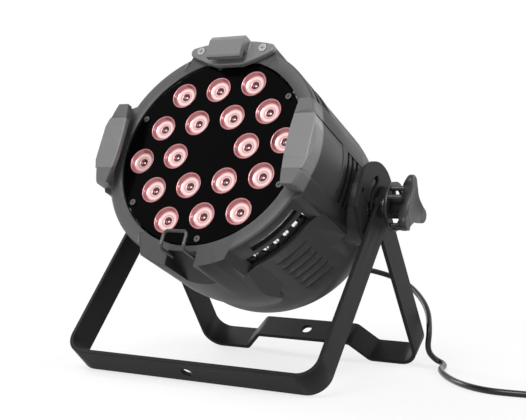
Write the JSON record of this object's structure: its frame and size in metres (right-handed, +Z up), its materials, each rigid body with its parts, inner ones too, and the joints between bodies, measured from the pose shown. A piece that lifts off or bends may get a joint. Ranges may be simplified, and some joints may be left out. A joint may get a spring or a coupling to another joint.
{
  "type": "LED par can light on a folding double-bracket stand",
  "caption": "Short-barrelled LED par light with lens-filled black face, clips for a filter frame and three-lobed tilt knobs, held between two bent-bar brackets that fold out as a floor stand.",
  "frame": {"origin": "on the floor, in the middle of the light's footprint without its cord", "axes": "+Z up; the face looks towards -Y and 23 degrees up; the tilt axis lies along X"},
  "size_m": [0.5342, 0.3216, 0.3231],
  "materials": {
    "stand_paint": "fine matt black powder coat",
    "body_paint": "die-cast, satin black powder coat",
    "clip_paint": "die-cast, satin black powder coat",
    "supply_case": "grey potted case",
    "knob_plastic": "moulded, slightly glossy",
    "face_gloss": "polished black",
    "lens_acrylic": "clear moulded optic with a rose tint from its metallised back",
    "holder_plastic": "moulded",
    "emitter_resin": "cast resin",
    "bare_aluminium": "die-cast, bead blasted",
    "zinc_steel": "bright zinc",
    "black_steel": "black coat",
    "thread_brass": "turned",
    "window_plastic": "clear, dark behind",
    "gasket_rubber": "soft",
    "socket_metal": "black coat on die-cast zinc",
    "gland_plastic": "moulded nylon",
    "cord_jacket": "smooth black jacket"
  },
  "bodies": {
    "rear_stand": {"rear_bracket": "stand_paint", "spacer_washers": "zinc_steel", "mains_cord": "cord_jacket", "cord_coil": "cord_jacket", "mains_plug": "cord_jacket", "plug_pins": "thread_brass"},
    "front_stand": {"front_bracket": "stand_paint", "knob_washers": "zinc_steel"},
    "head": {"housing": "body_paint", "side_cover_right": "clip_paint", "side_cover_left": "clip_paint", "top_clip": "clip_paint", "top_clip_screws": "zinc_steel", "face_plate": "face_gloss", "face_screws": "zinc_steel", "face_spacers": "zinc_steel", "lenses": "lens_acrylic", "lens_holders": "holder_plastic", "led_emitters": "emitter_resin", "led_board": "bare_aluminium", "heat_sink": "bare_aluminium", "heat_sink_screws": "zinc_steel", "air_guard": "body_paint", "chassis_plate": "bare_aluminium", "chassis_screws": "zinc_steel", "power_supply": "supply_case", "driver_board": "holder_plastic", "board_spacers": "zinc_steel", "rear_panel": "black_steel", "panel_gasket": "gasket_rubber", "panel_screws": "zinc_steel", "display_window": "window_plastic", "display_board": "holder_plastic", "dmx_in_socket": "socket_metal", "dmx_out_socket": "socket_metal", "dmx_screws": "zinc_steel", "fuse_holder": "holder_plastic", "cord_gland": "gland_plastic", "gland_nut": "gland_plastic", "strain_relief": "gasket_rubber", "safety_eye": "zinc_steel", "pivot_studs": "zinc_steel", "friction_washers": "zinc_steel"},
    "knob_right": {"knob_right": "knob_plastic", "knob_insert_right": "thread_brass"},
    "knob_left": {"knob_left": "knob_plastic", "knob_insert_left": "thread_brass"},
    "bail": {"wire_bail": "black_steel"},
    "button_menu": {"button_menu": "holder_plastic"},
    "button_down": {"button_down": "holder_plastic"},
    "button_up": {"button_up": "holder_plastic"},
    "button_enter": {"button_enter": "holder_plastic"},
    "latch": {"dmx_latch": "holder_plastic"},
    "fuse_cap": {"fuse_cap": "holder_plastic"}
  },
  "joints": [
    {"name": "front_fold", "type": "hinge", "parent": "rear_stand", "child": "front_stand", "pos_m": [0, 0.01372, 0.16479], "axis": [1, 0, 0], "range_deg": [-140, 77]},
    {"name": "head_tilt", "type": "hinge", "parent": "rear_stand", "child": "head", "pos_m": [0, 0.01372, 0.16479], "axis": [1, 0, 0], "range_deg": [-9, 68], "deforming": ["mains_cord"]},
    {"name": "knob_right_turn", "type": "hinge", "parent": "head", "child": "knob_right", "pos_m": [0, 0.01372, 0.16479], "axis": [1, 0, 0], "range_deg": [0, 360]},
    {"name": "knob_left_turn", "type": "hinge", "parent": "head", "child": "knob_left", "pos_m": [0, 0.01372, 0.16479], "axis": [-1, 0, 0], "range_deg": [0, 360]},
    {"name": "bail_swing", "type": "hinge", "parent": "head", "child": "bail", "pos_m": [0, -0.12317, 0.11382], "axis": [1, 0, 0], "range_deg": [0, 75]},
    {"name": "button_menu_press", "type": "slide", "parent": "head", "child": "button_menu", "axis": [0, -0.9202, 0.3915], "range_m": [0, 0.0005], "stiffness_N_per_m": 500},
    {"name": "button_down_press", "type": "slide", "parent": "head", "child": "button_down", "axis": [0, -0.9202, 0.3915], "range_m": [0, 0.0005], "stiffness_N_per_m": 500},
    {"name": "button_up_press", "type": "slide", "parent": "head", "child": "button_up", "axis": [0, -0.9202, 0.3915], "range_m": [0, 0.0005], "stiffness_N_per_m": 500},
    {"name": "button_enter_press", "type": "slide", "parent": "head", "child": "button_enter", "axis": [0, -0.9202, 0.3915], "range_m": [0, 0.0005], "stiffness_N_per_m": 500},
    {"name": "latch_press", "type": "slide", "parent": "head", "child": "latch", "axis": [0, -0.9202, 0.3915], "range_m": [0, 0.0015], "stiffness_N_per_m": 600},
    {"name": "fuse_cap_turn", "type": "hinge", "parent": "head", "child": "fuse_cap", "pos_m": [-0.01, 0.0831, 0.09288], "axis": [0, 0.9202, -0.3915], "range_deg": [0, 90]}
  ]
}
